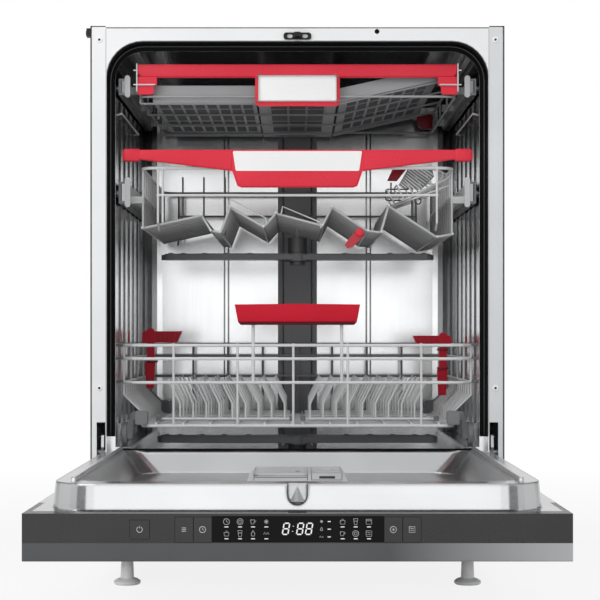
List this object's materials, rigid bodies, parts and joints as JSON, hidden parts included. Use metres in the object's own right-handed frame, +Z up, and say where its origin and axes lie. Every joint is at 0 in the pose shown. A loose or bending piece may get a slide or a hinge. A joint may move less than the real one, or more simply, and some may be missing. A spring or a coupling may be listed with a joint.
{
  "type": "built-in dishwasher",
  "caption": "Fully integrated built-in dishwasher with its door open: steel tub, lower rack, height-set upper rack and cutlery tray with red handles, spray arms and a dark control console.",
  "frame": {"origin": "on the floor, under the middle of the open dishwasher's bounding box", "axes": "+X to the right as seen from the front, +Y from the open door to the back, +Z up"},
  "size_m": [0.605, 1.1006, 0.818],
  "materials": {
    "white_steel": "satin white",
    "galvanised": "plain galvanised sheet",
    "stainless": "brushed stainless sheet",
    "base_plastic": "moulded dark grey",
    "pale_plastic": "moulded pale grey",
    "grey_plastic": "moulded mid grey",
    "dark_plastic": "moulded dark grey",
    "black_rubber": "matte",
    "coated_wire": "nylon coated, satin",
    "red_plastic": "satin red",
    "white_plate": "satin white",
    "zinc_steel": "zinc plated",
    "spring_steel": "oiled spring steel",
    "console": "satin anthracite",
    "console_keys": "satin anthracite",
    "console_band": "graphite metallic, graded",
    "window": "smoked",
    "circuit": "solder mask",
    "door_steel": "plain sheet for a furniture front",
    "lid_plastic": "satin pale grey",
    "filter_steel": "perforated stainless"
  },
  "bodies": {
    "cabinet": {"base_pan": "base_plastic", "levelling_feet": "pale_plastic", "left_side_panel": "white_steel", "right_side_panel": "white_steel", "top_crossbar": "white_steel", "top_cover": "galvanised", "rear_panel": "galvanised", "tub": "stainless", "tub_gasket": "black_rubber", "door_catch": "dark_plastic", "side_buffer": "dark_plastic", "panel_screws": "zinc_steel", "hinge_brackets": "zinc_steel", "hinge_springs": "spring_steel", "feed_duct": "dark_plastic", "ceiling_shower": "grey_plastic", "sump": "dark_plastic", "fine_filter": "filter_steel", "circulation_pump": "dark_plastic", "drain_pump": "dark_plastic", "inlet_valve": "pale_plastic", "drain_outlet": "grey_plastic", "water_softener": "pale_plastic", "fixed_rails": "stainless"},
    "door": {"door_outer_panel": "door_steel", "door_liner": "stainless", "console_housing": "console", "console_trim": "console_band", "display_window": "window", "control_board": "circuit", "dispenser_body": "lid_plastic", "door_lock": "dark_plastic", "hinge_arms": "zinc_steel", "door_lip_seal": "black_rubber"},
    "power_key": {"power_key": "console_keys"},
    "program_key": {"program_key": "console_keys"},
    "delay_key": {"delay_key": "console_keys"},
    "function_key": {"function_key": "console_keys"},
    "half_load_key": {"half_load_key": "console_keys"},
    "detergent_lid": {"detergent_lid": "lid_plastic"},
    "rinse_aid_lid": {"rinse_aid_lid": "lid_plastic"},
    "lower_rack": {"lower_rack_wires": "coated_wire", "lower_rack_handle": "red_plastic", "lower_rack_fittings": "red_plastic"},
    "left_folding_tines": {"left_folding_tines": "coated_wire"},
    "right_folding_tines": {"right_folding_tines": "coated_wire"},
    "front_wheels": {"front_wheels": "grey_plastic"},
    "rear_wheels": {"rear_wheels": "grey_plastic"},
    "lower_spray_arm": {"lower_spray_arm": "dark_plastic"},
    "upper_rack": {"upper_rack_wires": "coated_wire", "upper_rack_handle": "red_plastic", "upper_rack_plate": "white_plate", "upper_rack_fittings": "dark_plastic"},
    "upper_spray_arm": {"upper_spray_arm": "dark_plastic"},
    "upper_slide_rails": {"upper_slide_rails": "stainless"},
    "cutlery_tray": {"cutlery_tray": "grey_plastic", "tray_handle": "red_plastic"},
    "tray_slide_rails": {"tray_slide_rails": "stainless"},
    "coarse_filter": {"coarse_filter": "grey_plastic"},
    "salt_cap": {"salt_cap": "pale_plastic"}
  },
  "joints": [
    {"name": "door_hinge", "type": "hinge", "parent": "cabinet", "child": "door", "pos_m": [0, 0.0645, 0.2015], "axis": [1, 0, 0], "range_deg": [-90, 0], "deforming": ["hinge_springs"]},
    {"name": "power_key_press", "type": "slide", "parent": "door", "child": "power_key", "axis": [0, 1, 0], "range_m": [0, 0.0012], "stiffness_N_per_m": 800},
    {"name": "program_key_press", "type": "slide", "parent": "door", "child": "program_key", "axis": [0, 1, 0], "range_m": [0, 0.0012], "stiffness_N_per_m": 800},
    {"name": "delay_key_press", "type": "slide", "parent": "door", "child": "delay_key", "axis": [0, 1, 0], "range_m": [0, 0.0012], "stiffness_N_per_m": 800},
    {"name": "function_key_press", "type": "slide", "parent": "door", "child": "function_key", "axis": [0, 1, 0], "range_m": [0, 0.0012], "stiffness_N_per_m": 800},
    {"name": "half_load_key_press", "type": "slide", "parent": "door", "child": "half_load_key", "axis": [0, 1, 0], "range_m": [0, 0.0012], "stiffness_N_per_m": 800},
    {"name": "detergent_lid_slide", "type": "slide", "parent": "door", "child": "detergent_lid", "axis": [0, -1, 0], "range_m": [0, 0.06]},
    {"name": "rinse_aid_lid_hinge", "type": "hinge", "parent": "door", "child": "rinse_aid_lid", "pos_m": [0.039, -0.1065, 0.1846], "axis": [1, 0, 0], "range_deg": [0, 100]},
    {"name": "lower_rack_slide", "type": "slide", "parent": "cabinet", "child": "lower_rack", "axis": [0, -1, 0], "range_m": [0, 0.48]},
    {"name": "left_tines_fold", "type": "hinge", "parent": "lower_rack", "child": "left_folding_tines", "pos_m": [-0.108, 0.135, 0.2459], "axis": [-1, 0, 0], "range_deg": [0, 90]},
    {"name": "right_tines_fold", "type": "hinge", "parent": "lower_rack", "child": "right_folding_tines", "pos_m": [0.108, 0.135, 0.2459], "axis": [-1, 0, 0], "range_deg": [0, 90]},
    {"name": "front_wheels_roll", "type": "hinge", "parent": "lower_rack", "child": "front_wheels", "pos_m": [0, 0.1205, 0.2253], "axis": [1, 0, 0], "range_deg": [0, 1620]},
    {"name": "rear_wheels_roll", "type": "hinge", "parent": "lower_rack", "child": "rear_wheels", "pos_m": [0, 0.4695, 0.2253], "axis": [1, 0, 0], "range_deg": [0, 1620]},
    {"name": "lower_spray_spin", "type": "hinge", "parent": "cabinet", "child": "lower_spray_arm", "pos_m": [0, 0.302, 0.205], "axis": [0, 0, 1], "continuous": true},
    {"name": "upper_rack_slide", "type": "slide", "parent": "cabinet", "child": "upper_rack", "axis": [0, -1, 0], "range_m": [0, 0.4]},
    {"name": "upper_rails_extend", "type": "slide", "parent": "cabinet", "child": "upper_slide_rails", "axis": [0, -1, 0], "range_m": [0, 0.2]},
    {"name": "upper_spray_spin", "type": "hinge", "parent": "upper_rack", "child": "upper_spray_arm", "pos_m": [0, 0.302, 0.496], "axis": [0, 0, 1], "continuous": true},
    {"name": "cutlery_tray_slide", "type": "slide", "parent": "cabinet", "child": "cutlery_tray", "axis": [0, -1, 0], "range_m": [0, 0.4]},
    {"name": "tray_rails_extend", "type": "slide", "parent": "cabinet", "child": "tray_slide_rails", "axis": [0, -1, 0], "range_m": [0, 0.2]},
    {"name": "coarse_filter_turn", "type": "hinge", "parent": "cabinet", "child": "coarse_filter", "pos_m": [0.06, 0.232, 0.1817], "axis": [0, 0, 1], "range_deg": [0, 60]},
    {"name": "salt_cap_turn", "type": "hinge", "parent": "cabinet", "child": "salt_cap", "pos_m": [-0.13, 0.155, 0.18], "axis": [0, 0, 1], "range_deg": [0, 90]}
  ],
  "couplings": [
    {"joint": "front_wheels_roll", "follows": "lower_rack_slide", "rad_per_m": 58.824},
    {"joint": "rear_wheels_roll", "follows": "lower_rack_slide", "rad_per_m": 58.824},
    {"joint": "upper_rails_extend", "follows": "upper_rack_slide", "ratio": 0.5},
    {"joint": "tray_rails_extend", "follows": "cutlery_tray_slide", "ratio": 0.5}
  ]
}
